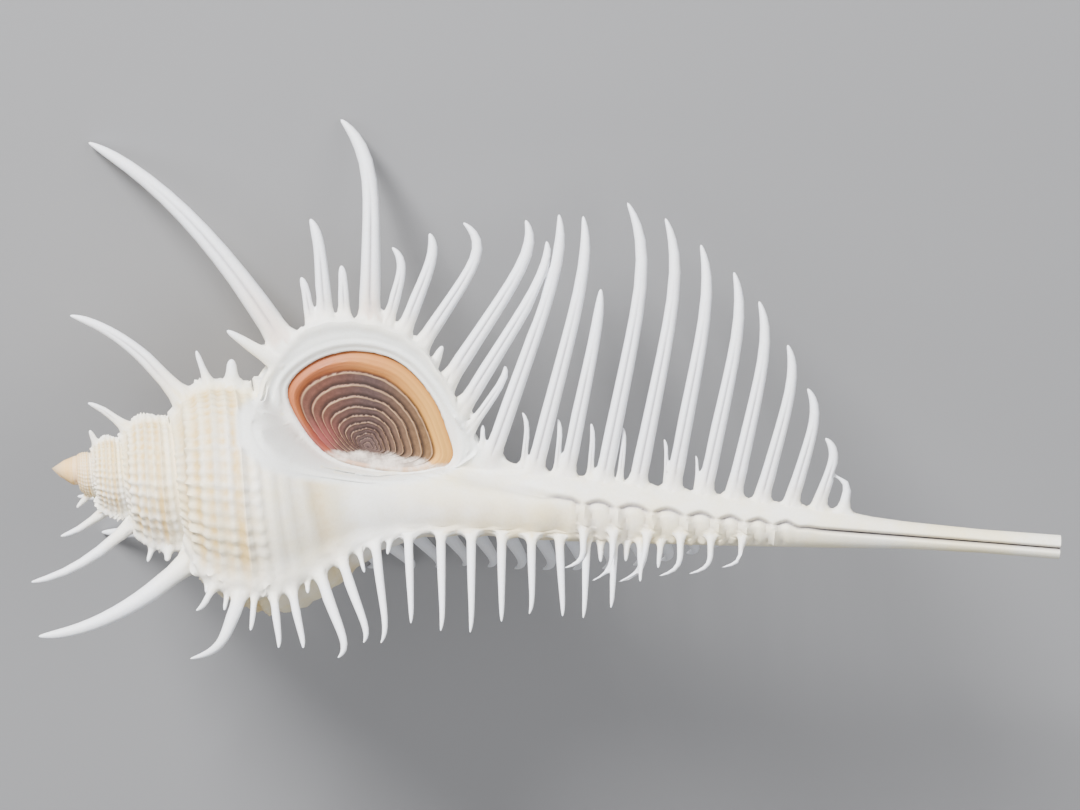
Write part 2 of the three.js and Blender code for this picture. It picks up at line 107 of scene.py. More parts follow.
# Each comb: azimuth of the feet, azimuths the spines set off and end towards, and its spines, as
# u at the foot, length, lean, hook, girth.
COMBS = {
    "lip": (8.5, 8.0, -3.0, [
        (32.2, 6.6, -1.5, 0.3, 1.4), (33.9, 13.6, -1.9, 1, 2), (36.3, 7.6, -0.7, 0.2, 1.5),
        (39.6, 26.4, -1.5, 4.2, 2.6), (41.8, 11, 2.1, 2.2, 1.55), (43.9, 14, 4.2, 1.8, 1.9),
        (46.3, 17.2, 9.1, 4.9, 1.9), (48.2, 3.2, 0.9, 0, 1.2), (50, 22.6, 12, 3.6, 2.1),
        (52.1, 23.4, 11.8, 2.6, 2.0), (53.4, 9, 5, 1.2, 1.3), (55.2, 3.2, -0.2, 0, 0.9),
        (56.4, 31.8, 8.6, 2.4, 2.15), (60.6, 7.2, 0.2, 0.9, 0.85), (62, 33.2, 5.9, 2.2, 2.1),
        (64.9, 7.2, 0.1, 0.5, 0.85), (66.1, 24.4, 3.2, 0.6, 2.0), (69.2, 7.2, 0, 0.4, 0.85),
        (70.9, 36, 4.5, 4.2, 2.15), (73, 7.2, 0.3, 0.4, 0.85), (75.3, 34.6, 4.2, 3.3, 2.1),
        (79.0, 6.4, -0.3, 0.4, 0.7), (79.8, 31.8, 3.7, 2.5, 2.05), (83.0, 4.8, -0.2, 0.3, 0.7),
        (83.9, 28.8, 4, 2.4, 2), (87.7, 25.5, 3.7, 2.4, 1.95), (91.3, 20.4, 3.9, 2.1, 1.85),
        (95.1, 15.2, 3.3, 2.3, 1.75), (98.6, 9.2, 2.4, 2.1, 1.65), (101.9, 4.8, 0.6, 2.2, 1.45),
    ]),
    "back": (252.0, 250.0, 258.0, [
        (26.8, 6, -1, 1, 1.4), (29, 14, 0.6, 1.6, 2), (32, 7.5, 1, 0.6, 1.5), (34.4, 16.9, 3.2, 2.2, 2.1),
        (37.6, 19.5, 6, 3, 2.2), (41, 22.4, 7.6, 2.8, 2.2), (45, 25, 7.2, 2.4, 2.2),
        (49.2, 26.5, 6.4, 2.2, 2.2), (53.4, 27.5, 5.8, 2.4, 2.2), (57.6, 28, 5.4, 2.6, 2.2),
        (61.8, 27.5, 5, 2.6, 2.2), (66, 26.5, 4.6, 2.4, 2.1), (70.1, 25, 4.4, 2.4, 2.1),
        (74.1, 22, 4.2, 2.2, 2), (78, 18.5, 3.8, 2.2, 2), (81.8, 14, 3, 2, 1.9), (85.2, 9.5, 2, 1.8, 1.8),
    ]),
    "front": (149.0, 142.0, 116.0, [
        (22.8, 6, -1.5, 0.4, 1.12), (26.2, 14, -2.2, 3, 1.89), (27.9, 7.6, 0.2, 0.1, 0.95),
        (30.2, 11, 1.9, 0.3, 1.19), (32.4, 12, 2.8, 0.3, 1.26), (35.6, 17, 6, 2.2, 1.58),
        (38.2, 17, 5.7, 1.5, 1.43), (42.4, 20.5, 3.4, 1.2, 1.24), (46.6, 18, 1.7, 0.2, 1.17),
        (50.7, 19.8, 1.6, 0.4, 1.17), (54.6, 20, 1.3, 0.3, 1.17), (58.5, 17.6, 1, 0.1, 1.17),
        (62.3, 15.8, 1, 0.5, 1.1), (65.9, 15.8, 1.3, 0.2, 1.1), (69.4, 16, 0.4, 0.2, 1.03),
        (72.9, 13.8, 0.3, 0.2, 1.03), (76.3, 8.4, 0.3, 0.1, 0.96), (78.9, 5.6, -0.2, 0, 0.83),
    ]),
    "slit": (126.0, 146.0, 168.0, [
        (68.9, 5.6, 0.3, 2.4, 1.0), (72.7, 7.2, 0.3, 2.6, 1.0), (77.1, 7.2, -0.4, 2.9, 1.0),
        (81.3, 6.1, 0.3, 2.7, 1.0), (85.2, 5.6, 0.2, 2.7, 0.95), (89.2, 4.5, 0, 2.4, 0.9),
    ]),
}
# Spines at the whorls' shoulders: u at the foot, azimuth of the foot, azimuth it points to, length, lean,
# bow, girth.
SHOULDER_SPINES = [
    (28.8, 9, -0.5, 24.2, -26.7, 3.2, 3.0), (24, 252, 258, 15, -19, 2.4, 2.7),
    (19.8, 158, 160, 12.4, -18.8, 2.4, 2.5), (16.6, 8, 6, 9.8, -15.3, 1.8, 2.1),
    (9.7, 8, 6, 3.0, -5.4, 0.4, 1.2), (5.8, 8, 20, 1.8, -1, 0, 0.9), (11.6, 168, 170, 9, -12.6, 1.5, 1.6),
    (7.8, 184, 184, 4, -5.8, 0.5, 1.2), (5.2, 186, 190, 1.8, -1.4, 0, 0.8),
    (13.6, 256, 254, 7, -11, 1.5, 1.8), (8.2, 262, 258, 3, -4.2, 0.5, 1.2),
]
# Low spines: u at the foot, azimuth of the foot, length, lean, girth.
LOW_SPINES = [
    (19.7, 8, 4.4, -2, 1.2), (22.6, 8, 3.4, -0.3, 2), (14.2, 163, 2.4, -0.5, 0.9), (16.2, 160, 2, 0, 1.3),
    (21.6, 149, 2.6, 0.2, 0.9), (24.5, 149, 3.4, -0.2, 0.9), (34.3, 149, 2.4, 0.3, 0.9),
    (40.3, 149, 4, 1.2, 0.9), (44.4, 149, 3, -0.2, 0.9), (71.2, 158, 3, 0.2, 0.9), (74.6, 158, 2.8, 0, 0.9),
]

# A short spur on the side of the largest spine's foot: u, azimuth, radius of its foot, length, lean, girth.
SIDE_SPUR = (27.0, 12, 16.8, 3.0, -5.5, 1.6)

# ---------------------------------------------------------------- small tools


def smoothstep(low, high, x):
    t = np.clip((x - low) / (high - low), 0, 1)
    return t * t * (3 - 2 * t)


def bump(x, middle, width):
    return np.exp(-(((x - middle) / width) ** 2))


def outward(azimuth):
    """Unit vectors along azimuths, as (..., 3)."""
    a = np.radians(azimuth)
    return np.stack([np.zeros_like(a), np.cos(a), np.sin(a)], axis=-1)


def place(u, radius, azimuth):
    a = np.radians(azimuth)
    u, radius, a = np.broadcast_arrays(u, radius, a)
    return np.stack([u, radius * np.cos(a), radius * np.sin(a)], axis=-1)


def catmull_rom(points, per_span, closed=False):
    """A smooth curve through the points, per_span steps to each span."""
    p = np.asarray(points, float)
    n = len(p)
    spans = n if closed else n - 1
    out = []
    for i in range(spans):
        if closed:
            a, b, c, d = (p[(i + k) % n] for k in (-1, 0, 1, 2))
        else:
            b, c = p[i], p[i + 1]
            a = p[i - 1] if i > 0 else 2 * b - c
            d = p[i + 2] if i + 2 < n else 2 * c - b
        t = np.linspace(0, 1, per_span, endpoint=False)[:, None]
        out.append(
            0.5 * (2 * b + (c - a) * t + (2 * a - 5 * b + 4 * c - d) * t**2 + (3 * b - 3 * c + d - a) * t**3)
        )
    if not closed:
        out.append(p[-1:])
    return np.concatenate(out)


def resample(curve, count):
    """count points evenly spaced along a curve, its ends kept."""
    gaps = np.linalg.norm(np.diff(curve[:, :2], axis=0), axis=1)
    along = np.concatenate([[0], np.cumsum(gaps)])
    at = np.linspace(0, along[-1], count)
    return np.stack([np.interp(at, along, curve[:, k]) for k in range(curve.shape[1])], axis=1)


def growth(back):
    return WHORL_GROWTH ** (-np.asarray(back, float) / 360)


# ---------------------------------------------------------------- the spiral surface

SIDE_ROWS = 48
BASE_ROWS = 32
side_line = resample(catmull_rom(OUTLINE, 24)[: JOIN_AT * 24 + 1], SIDE_ROWS)
base_line = resample(catmull_rom(OUTLINE, 24)[JOIN_AT * 24 :], BASE_ROWS)[1:]
canal_us = np.concatenate([np.arange(67.35, 98, 0.36), np.linspace(98, LENGTH, 26)])


def canal_radius(u):
    return np.interp(u, CANAL_U, CANAL_R)


def varix_lift(back):
    """A varix's height, as a share of the radius."""
    back = np.asarray(back, float)
    lift = np.zeros_like(back)
    for varix in VARICES:
        # The face towards the lip is steeper than the one behind.
        width = np.where(back < varix, 0.75, 1.15) * VARIX_WIDTH
        lift = np.maximum(lift, VARIX_HEIGHT * np.exp(-(((back - varix) / width) ** 2)))
    return lift


def belly(u0, back):
    """The last whorl is a little fuller behind than a plain spiral."""
    azimuth = (LIP - back) % 360
    return 1 + 0.07 * bump(azimuth, 200, 48) * bump(u0, 44, 12) * (back < 360)


def line_at(rows, back):
    """Points (u, radius) of outline rows at back angles, without the fine sculpture. Broadcasts."""
    u0, r0, share = rows[..., 0], rows[..., 1], rows[..., 2]
    scale = growth(back)
    u = u0 * scale * (1 - share) + u0 * share
    radius = r0 * scale * (1 + varix_lift(back)) * belly(u0, back)
    radius = radius * (1 - share) + canal_radius(u0) * share
    return u, radius


canal_line = np.stack([canal_us, canal_radius(canal_us), np.ones_like(canal_us)], axis=1)
last_line = np.concatenate([side_line, base_line, canal_line])


TABLE_STEP_U, TABLE_STEP_A = 0.2, 2.0


def radius_table():
    """The body's radius on an even grid of u and azimuth."""
    us = np.arange(0, LENGTH + TABLE_STEP_U, TABLE_STEP_U)
    table = np.zeros((len(us), round(360 / TABLE_STEP_A) + 1))
    for column in range(table.shape[1]):
        back = (LIP - column * TABLE_STEP_A) % 360
        for whorl in range(5):
            rows = last_line if whorl == 0 else side_line
            line_u, line_r = line_at(rows, np.full(len(rows), back + 360.0 * whorl))
            table[:, column] = np.maximum(table[:, column], np.interp(us, line_u, line_r, left=0, right=0))
    return table


body_radii = radius_table()


def surface_radius(u, azimuth):
    """The body's radius where the axis coordinate is u and the azimuth is as given."""
    row = np.clip(np.asarray(u, float) / TABLE_STEP_U, 0, body_radii.shape[0] - 1.001)
    column = (np.asarray(azimuth, float) % 360) / TABLE_STEP_A
    r, c = row.astype(int), column.astype(int)
    fr, fc = row - r, column - c
    low = body_radii[r, c] * (1 - fc) + body_radii[r, c + 1] * fc
    high = body_radii[r + 1, c] * (1 - fc) + body_radii[r + 1, c + 1] * fc
    return low * (1 - fr) + high * fr


def slit_line(u):
    """The height of the canal's slit above the axis, as seen from the front, with an arch over every cell."""
    base = np.interp(u, [62, 66, 76, 88, 98, LENGTH], [1.9, 1.25, 0.85, 0.45, 0.25, 0.1])
    cells = np.array(CELL_EDGES)
    nearest = np.abs(u[..., None] - cells).min(axis=-1)
    arch = 0.72 * (1 - np.exp(-((nearest / 1.15) ** 2))) * smoothstep(61, 64, u) * (1 - smoothstep(95, 99, u))
    return base + arch - 0.35


TAN_BANDS = (
    [25.6, 27, 29, 30.3, 31.6, 33, 34.5, 36, 38, 40.5, 43, 48, 54],
    [0.30, 0.35, 0.25, 0.80, 0.45, 0.65, 0.40, 0.60, 0.35, 0.22, 0.10, 0.10, 0.0],
)
CELL_EDGES = [63.6, 68.6, 72.9, 77.4, 81.8, 85.8, 89.4, 93.0, 96.5]


def sculpture(u, radius, u0, back, share):
    """Height of the fine relief above the plain surface, in mm, and what the materials need to know."""
    scale = growth(back)
    azimuth = (LIP - back) % 360
    on_canal = smoothstep(0.1, 0.75, share)
    on_body = 1 - on_canal

    # Cords round the whorl, a strong one and a weak one in turn, with fine threads on them.
    phase = (u0 - 28.8) / CORD_PITCH
    cord = (0.5 + 0.5 * np.cos(2 * np.pi * phase)) ** 1.4
    alternate = 0.78 + 0.22 * np.cos(np.pi * phase)
    fine = 0.5 + 0.5 * np.cos(2 * np.pi * phase * 3)
    fading = scale**0.55 * on_body
    relief = (0.50 * cord * alternate + 0.07 * fine) * fading

    # Low ribs along the axis, on the upper part of the whorls only.
    wobble = 0.5 * np.sin(u0 * 0.7 + 0.02 * back) + 0.4 * np.sin(u0 * 2.1 + back * 0.06)
    rib_phase = np.where(back < 360, back / RIB_PITCH[0], 360 / RIB_PITCH[0] + (back - 360) / RIB_PITCH[1])
    uneven = 0.75 + 0.25 * np.sin(back * 0.21 + 1.3 * np.sin(back * 0.043))
    rib = (0.5 + 0.5 * np.cos(2 * np.pi * (rib_phase + 0.12 * wobble))) ** 1.3 * uneven
    below = 1 - smoothstep(39.5, 44, u0)
    relief = relief + (0.22 + 0.34 * cord) * rib * below * fading
    # Where a rib crosses the shoulder it stands up as a small bead.
    relief = relief + 0.30 * rib * bump(u0, 29.4, 1.3) * fading

    # The varices are rough: their crests are broken into small scales where the cords cross them.
    near_varix = varix_lift(back) / VARIX_HEIGHT
    ragged = 0.5 + 0.5 * np.sin(phase * 5.3 + back * 0.19) * np.sin(phase * 2.1 + back * 0.47 + 1.0)
    scales = 0.55 * np.abs(np.sin(np.pi * phase)) ** 0.7 + 0.45 * ragged
    torn = np.abs(np.sin(phase * 4.1 + back * 0.9)) ** 3 * (0.5 + 0.5 * np.sin(phase * 1.7 + back * 0.05))
    torn = torn * (1 - bump(back, 120, 20))
    relief = relief + near_varix**1.5 * (1.2 * scales + 0.9 * torn - 0.1) * scale**0.6 * on_body

    # The front of the canal: a slit, cells that bulge beneath it, and a rib between each two cells.
    height = radius * np.cos(np.radians(azimuth))
    facing = smoothstep(0.25, 0.6, np.sin(np.radians(azimuth)))
    v_slit = slit_line(u)
    along = smoothstep(61.5, 64.5, u)
    cells = np.array(CELL_EDGES)
    edge = np.abs((u - 0.18 * (v_slit - height))[..., None] - cells).min(axis=-1)
    row_end = smoothstep(62, 64, u) * (1 - smoothstep(93, 97, u))
    under = smoothstep(-0.1, 0.35, v_slit - height) * facing
    slit = bump(height, v_slit, 0.24) * facing * along * (1 - 0.85 * bump(edge, 0, 0.45) * row_end)
    relief = relief - 0.72 * slit
    relief = relief + under * row_end * (0.5 * bump(edge, 0, 0.42) - 0.34 * bump(edge, 0.95, 0.36))
    relief = relief - 0.30 * bump(height, v_slit - 0.45, 0.32) * facing * row_end * (1 - bump(edge, 0, 0.55))
    # Painted shade: dark grey in the slit and in thin lines beside the ribs under it.
    seam = 0.95 * slit + 0.35 * under * row_end * bump(edge, 0.9, 0.3)
    # Past the last cell the slit opens into a plain gutter.
    open_part = smoothstep(96, 102, u)
    relief = relief - 0.42 * open_part * bump(height, v_slit, 0.3) * facing
    # A broad trough leads from the aperture down to the slit.
    trough_line = np.interp(u, [50, 55, 59, 63, 66], [3.6, 3.2, 2.5, 1.8, 1.3])
    trough_width = np.interp(u, [50, 55, 60, 65], [1.5, 1.35, 0.8, 0.35])
    trough = smoothstep(51, 54, u) * (1 - smoothstep(62.5, 65.5, u))
    relief = relief - 0.95 * trough * bump(height, trough_line, trough_width) * facing
    # Painted shade, dark grey, also lies in the trough and in the open gutter.
    seam = seam + 0.3 * trough * bump(height, trough_line, trough_width) * facing
    seam = seam + 0.3 * open_part * bump(height, v_slit, 0.3) * facing

    # Shallow undulations run up the canal's front from the feet of the spines.
    feet = smoothstep(39, 44, u) * (1 - smoothstep(62, 68, u)) * smoothstep(0.2, -0.8, (height - 1) / 4.0)
    relief = relief + 0.22 * feet * np.cos(2 * np.pi * (u - 42.4) / 4.05 + 0.25 * height) * on_canal
    # Small bumps along the canal's upper edge, between the feet of the lip's spines.
    upper = bump((azimuth + 180) % 360 - 180, 9, 15) * smoothstep(55, 58, u) * (1 - smoothstep(102, 106, u))
    relief = relief + upper * (0.12 + 0.5 * np.abs(np.sin(u * 2.1)) * np.abs(np.sin(u * 0.83 + 0.6)))
    lower = bump((azimuth + 180) % 360 - 180, 150, 10) * smoothstep(40, 44, u) * (1 - smoothstep(84, 90, u))
    relief = relief + lower * 0.42 * np.abs(np.sin(u * 2.4 + 0.4))

    # The first whorls are worn smooth.
    relief = relief * smoothstep(2.5, 7.0, u)

    # Tan lies in the pits between cords and ribs, more in some bands than in others.
    pits = (1 - 0.85 * cord) * (1 - 0.8 * rib)
    bands = np.interp(u0, TAN_BANDS[0], TAN_BANDS[1])
    stripe = 0.85 * bump(u0, 38.1, 0.75) * (0.55 + 0.45 * bump(azimuth, 140, 55))
    lower_band = 0.45 * bump(u0, 50.6, 1.4)
    yellow = 0.45 * bump(u0, 28.2, 0.8) * bump(azimuth, 90, 60)
    tan = (bands * (0.30 + 1.45 * pits) + stripe + lower_band + yellow) * on_body
    tan = tan * (1 - 0.8 * near_varix * (azimuth < 60)) * (1 - 0.35 * near_varix)
    # Away from the front the shell is made duller and tanner all over, as painted shade on the side turned
    # away from the light.
    tan = tan + 0.22 * smoothstep(165, 215, azimuth) * (1 - smoothstep(330, 352, azimuth)) * on_body
    tan = tan + 0.32 * on_canal * bump(u, 56, 26) * smoothstep(3.0, -1.5, height)
    cover = callus_cover(u, height, azimuth) * (back < 360)
    relief = relief * (1 - cover)
    traits = traits_of(u.shape, tan=np.clip(tan, 0, 1) * (1 - cover), varix=near_varix * on_body)
    traits[..., TRAITS.index("glaze")] = cover
    traits[..., TRAITS.index("seam")] = np.clip(seam, 0, 1)
    return relief, traits


def callus_cover(u, height, azimuth):
    """1 where the callus covers the body, falling to 0 a little way outside its edge."""
    outline = np.array([(iu, iv) for iu, iv, _ in INNER_LIP] + [(56, 14), (45, 22), (30, 22), (26.3, 15)])
    inside = np.zeros(u.shape, bool)
    nearest = np.full(u.shape, 1e9)
    count = len(outline)
    for i in range(count):
        (u1, v1), (u2, v2) = outline[i], outline[(i + 1) % count]
        crosses = (v1 > height) != (v2 > height)
        if v1 != v2:
            inside ^= crosses & (u < u1 + (height - v1) * (u2 - u1) / (v2 - v1))
        if i < len(INNER_LIP) - 1:
            du, dv = u2 - u1, v2 - v1
            along = np.clip(((u - u1) * du + (height - v1) * dv) / (du**2 + dv**2), 0, 1)
            nearest = np.minimum(nearest, np.hypot(u - u1 - along * du, height - v1 - along * dv))
    cover = np.where(inside, 1.0, 1 - smoothstep(0.0, 1.1, nearest))
    return cover * (np.sin(np.radians(azimuth)) > 0.05)


class Solid:
    """Vertices, faces and per-vertex traits gathered for one closed surface."""

    def __init__(self):
        self.points, self.faces, self.traits = [], [], []

    def add(self, points, traits):
        first = len(self.points)
        self.points.extend(np.asarray(points, float).reshape(-1, 3))
        self.traits.extend(np.asarray(traits, float).reshape(-1, len(TRAITS)))
        return first

    def skin(self, rings, sides, closed=False):
        """Quads between each ring of points and the next, and from the last to the first if closed."""
        for k in range(rings if closed else rings - 1):
            one, two = k * sides, (k + 1) % rings * sides
            for i in range(sides):
                j = (i + 1) % sides
                self.faces.append((one + i, one + j, two + j, two + i))

    def cap(self, ring, sides, tip):
        """Triangles from a ring of points to a tip."""
        self.faces.extend((ring * sides + i, ring * sides + (i + 1) % sides, tip) for i in range(sides))


TRAITS = ("tan", "cool", "glaze", "warm", "varix", "pink", "seam")


def traits_of(shape, **values):
    out = np.zeros((*shape, len(TRAITS)))
    for name, value in values.items():
        out[..., TRAITS.index(name)] = value
    return out


def body():
    """The coiled body and the canal, closed by the flat plane of the lip."""
    solid = Solid()
    one_turn = np.concatenate([
        np.linspace(start, end, round((end - start) / step), endpoint=False)
        for start, end, step in COLUMN_STEPS
    ])
    turn = len(one_turn)
    backs = np.concatenate([one_turn + 360 * k for k in range(math.ceil(WHORLS))])
    backs = backs[backs <= WHORLS * 360]
    columns = len(backs) - 1

    def block(rows, some_backs):
        b = some_backs[:, None] + np.zeros(len(rows))
        r = rows[None] + np.zeros((len(some_backs), 1, 1))
        u, radius = line_at(r, b)
        # The first whorls are worn to a blunt cone.
        radius = np.maximum(radius, (0.30 + 0.50 * u) * (1 - smoothstep(3.0, 5.5, u)))
        relief, traits = sculpture(u, radius, r[..., 0], b, r[..., 2])
        # The relief fades out at the sutures, where neighbouring whorls share an edge.
        row = np.arange(len(rows))[None] + np.zeros_like(b)
        if len(rows) == SIDE_ROWS:
            fade = smoothstep(0, 4, row)
            older = smoothstep(300, 350, b)
            fade = fade * (1 - older * (1 - smoothstep(0, 3, SIDE_ROWS - 1 - row)))
            relief = relief * fade
        else:
            starts = smoothstep(300, 350, b) * (1 - smoothstep(0, 3, row)) * (r[..., 2] < 0.5)
            relief = relief * (1 - starts)
        near_lip = 1 - smoothstep(0, 7, b)
        relief = relief * (1 - 0.6 * near_lip)
        direction = place(0.0, 1.0, LIP - b)
        slope = np.gradient(radius, axis=1) / np.maximum(np.gradient(u, axis=1), 0.02)
        lean = np.clip(-slope, -2.5, 2.5)
        normal = direction + lean[..., None] * np.array([1.0, 0, 0])
        normal /= np.linalg.norm(normal, axis=-1, keepdims=True)
        points = place(u, radius, LIP - b) + relief[..., None] * normal
        traits[..., TRAITS.index("warm")] = 0.8 * (1 - smoothstep(2.0, 6.5, u))
        return points, traits

    side_points, side_traits = block(side_line, backs)
    base_points, base_traits = block(base_line, backs[: turn + 1])
    canal_points, canal_traits = block(canal_line, backs[:turn])

    side_ids = np.zeros((columns + 1, SIDE_ROWS), int)
    for c in range(columns + 1):
        first = solid.add(side_points[c], side_traits[c])
        side_ids[c] = first + np.arange(SIDE_ROWS)
        if c >= turn:
            side_ids[c, -1] = side_ids[c - turn, 0]
    nb, nc = len(base_line), len(canal_line)
    base_ids = np.array([solid.add(base_points[c], base_traits[c]) + np.arange(nb) for c in range(turn + 1)])
    canal_ids = np.array([solid.add(canal_points[c], canal_traits[c]) + np.arange(nc) for c in range(turn)])
    canal_ids = np.concatenate([canal_ids, canal_ids[:1]])
    # The outline's last base row is a canal row too, so it is one ring.
    base_ids[turn, -1] = base_ids[0, -1]
    lines = [
        np.concatenate([side_ids[c], base_ids[c], canal_ids[c]]) if c <= turn else side_ids[c]
        for c in range(columns + 1)
    ]
    for c in range(columns):
        rows = len(lines[0]) if c < turn else SIDE_ROWS
        one, two = lines[c], lines[c + 1]
        for r in range(rows - 1):
            solid.faces.append((one[r], one[r + 1], two[r + 1], two[r]))
    newest = list(lines[0][: SIDE_ROWS + nb])
    before = list(lines[turn][SIDE_ROWS : SIDE_ROWS + nb - 1])
    solid.faces.append(tuple((newest + before[::-1])[::-1]))
    tip = solid.add([[0.25, 0, 0]], traits_of((1,), warm=0.5))
    first_whorl = [line[0] for line in lines[-turn - 1 :]] + list(lines[columns][1 : SIDE_ROWS - 1])
    for i, one in enumerate(first_whorl):
        solid.faces.append((tip, one, first_whorl[(i + 1) % len(first_whorl)]))
    solid.faces.append(tuple(int(lines[c][-1]) for c in range(turn))[::-1])
    return solid


# ---------------------------------------------------------------- spines


def spine_path(u, root, start, end, length, lean, hook, bow, radius_at_foot):
    foot = place(u, radius_at_foot, root)
    first, last = outward(np.float64(start)), outward(np.float64(end))

    def at(s):
        s = np.asarray(s, float)[..., None]
        p = foot + first * length * (s - s * s / 2) + last * (length * s * s / 2 + 4 * bow * s * (1 - s))
        along = lean * s - hook * np.maximum(s, 0) ** HOOK_POWER
        return p + along * np.array([1.0, 0, 0])

    return at


# Places round a spine's section, in degrees: a groove needs closer ones at its middle, 90.
SECTION = np.radians([66, 79, 90, 101, 114, 144, 174, 204, 237, 270, 303, 336, 6, 36])


def spine(u, root, start, end, length, lean, hook, bow, girth, groove, foot_radius=None):
    """A spine with a spread foot and a hooked tip and, in the lip's comb, a groove up its face."""
    solid = Solid()
    sides = len(SECTION)
    if foot_radius is None:
        foot_radius = float(surface_radius(u, root))
        if start < 60 and u > LIP_FROM:
            foot_radius += 0.8 * float(lip_extra(u))
            length -= 0.8 * float(lip_extra(u))
    at = spine_path(u, root, start, end, length, lean, hook, bow, foot_radius)
    of_lip = groove > 0
    tip_girth = TIP_GIRTH["lip" if of_lip and hook > 0 else "other"]
    if length > 9:
        shares = [-1.6 / length, 0.0, 0.7 / length, 1.8 / length, *np.linspace(3.4 / length, 0.80, 8)]
        shares += [0.87, 0.92, 0.955, 0.98, 0.993]
    elif length > 5:
        shares = [-1.6 / length, 0.0, 0.7 / length, 1.8 / length, *np.linspace(3.0 / length, 0.84, 4)]
        shares += [0.93, 0.98]
    else:
        shares = [-1.2 / length, 0.0, 0.5 / length, 0.4, 0.6, 0.8, 0.9, 0.97]
    shares = np.array(shares)
    centres = at(shares)
    tangents = at(shares + 0.004) - at(shares - 0.004)
    tangents /= np.linalg.norm(tangents, axis=1, keepdims=True)
    front = outward(np.float64((start + end) / 2 + (90 if start < 60 else -90)))
    off_front = np.abs(SECTION - np.pi / 2)
    flush = (0.5 if girth > 2.5 else 0.10) if of_lip else 0.0
    for s, centre, tangent in zip(shares, centres, tangents):
        across = np.cross(tangent, front)
        across /= np.linalg.norm(across)
        ahead = np.cross(across, tangent)
        above = max(s, 0.0)
        body_part = 1 - (1 - tip_girth) * above**1.3
        tip_part = math.sqrt(max(1 - ((max(s, 0.82) - 0.82) / 0.18) ** 2.0, 0.0))
        spread = math.exp(-above * length / (0.5 * girth + 0.2))
        base = 0.52 * girth * (body_part * tip_part + 0.28 * spread) * (1.0 if s >= 0 else 0.45)
        depth = groove * (1 - float(smoothstep(0.45, 0.8, above)))
        ring_r = base * (1 - 0.30 * depth * np.exp(-((off_front / 0.22) ** 2)))
        # Feet spread along the row of spines more than across it.
        wide = 1 + 0.22 * spread
        ring = centre + np.outer(ring_r * np.cos(SECTION) * wide, across)
        ring = ring + np.outer(ring_r * np.sin(SECTION) * 0.94, ahead)
        cool = 0.9 * float(smoothstep(0.0, 3.0, above * length))
        pink = flush * np.exp(-((off_front / 0.9) ** 2)) * math.exp(-((above * length / 5.0) ** 2))
        # Painted shade, dark grey, runs down the middle of the groove.
        seam = 0.75 * depth * np.exp(-((off_front / 0.16) ** 2)) * float(smoothstep(0.0, 1.5, above * length))
        solid.add(ring, traits_of((sides,), cool=cool * (1 - pink), varix=1 - cool, pink=pink, seam=seam))
    end_cap = solid.add([at(np.float64(1.0))], traits_of((1,), cool=0.9))
    start_cap = solid.add([centres[0]], traits_of((1,)))
    solid.skin(len(shares), sides)
    solid.cap(len(shares) - 1, sides, end_cap)
    solid.cap(0, sides, start_cap)
    return solid


def all_spines():
    out = []
    for name, (root, start, end, rows) in COMBS.items():
        for u, length, lean, hook, girth in rows:
            grooved = 1.0 if name == "lip" and length > 6 else 0.0
            out.append(spine(u, root, start, end, length, lean, hook, 0.0, girth, grooved))
    for u, root, end, length, lean, bow, girth in SHOULDER_SPINES:
        out.append(spine(u, root, root, end, length, lean, 0.0, bow, girth, 0.8 if root < 20 else 0.0))
    for u, root, length, lean, girth in LOW_SPINES:
        out.append(spine(u, root, root, root, length, lean, 0.0, 0.0, girth, 0.0))
    u, root, foot_radius, length, lean, girth = SIDE_SPUR
    out.append(spine(u, root, root, root, length, lean, 0.0, 0.0, girth, 0.0, foot_radius))
    return out


# ---------------------------------------------------------------- the lips and the aperture

LIP_COLUMNS = 280
lip_in = outward(np.float64(LIP))
lip_out = outward(np.float64(LIP + 90))


def lip_extra(u):
    """How far the outer lip's crest stands out past the varix."""
    return LIP_EXTRA * smoothstep(LIP_FROM, LIP_FROM + 5, u) * (1 - smoothstep(51, LIP_TO, u))


def on_plane(u, q, h):
    """A point from u, the distance q along the lip's plane and the height h in front of it."""
    u, q, h = np.broadcast_arrays(u, q, h)
    on_axis = np.stack([u, np.zeros_like(u), np.zeros_like(u)], -1)
    return on_axis + q[..., None] * lip_in + h[..., None] * lip_out


def body_height(u, q):
    """How far the body stands in front of the lip's plane at (u, q)."""
    azimuth = np.full(np.shape(u), LIP + 45.0)
    for _ in range(24):
        radius = surface_radius(u, azimuth)
        h = np.sqrt(np.maximum(radius**2 - q**2, 0))
        azimuth = 0.5 * azimuth + 0.5 * (LIP + np.degrees(np.arctan2(h, q)))
    return np.sqrt(np.maximum(surface_radius(u, azimuth) ** 2 - q**2, 0))


def seen_from_front(u, v):
    """(q, h) of the body's surface where it is seen at (u, v)."""
    azimuth = 60.0
    for _ in range(24):
        radius = float(surface_radius(u, azimuth))
        azimuth = 0.5 * azimuth + 0.5 * math.degrees(math.acos(min(1.0, v / max(radius, v + 1e-6))))
    relative = math.radians(azimuth - LIP)
    return radius * math.cos(relative), radius * math.sin(relative)


def polar(points):
    """A closed line of (u, q, ...) as radii, and the rest, at even angles round APERTURE_MIDDLE."""
    p = np.asarray(points, float)
    du, dq = p[:, 0] - APERTURE_MIDDLE[0], p[:, 1] - APERTURE_MIDDLE[1]
    angle = np.unwrap(np.arctan2(dq, du))
    if angle[-1] < angle[0]:
        angle, p, du, dq = angle[::-1], p[::-1], du[::-1], dq[::-1]
    order = np.argsort(angle % (2 * np.pi))
    at = np.arange(LIP_COLUMNS) * 2 * np.pi / LIP_COLUMNS
    values = [np.hypot(du, dq)] + [p[:, k] for k in range(2, p.shape[1])]
    return [np.interp(at, (angle % (2 * np.pi))[order], v[order], period=2 * np.pi) for v in values]


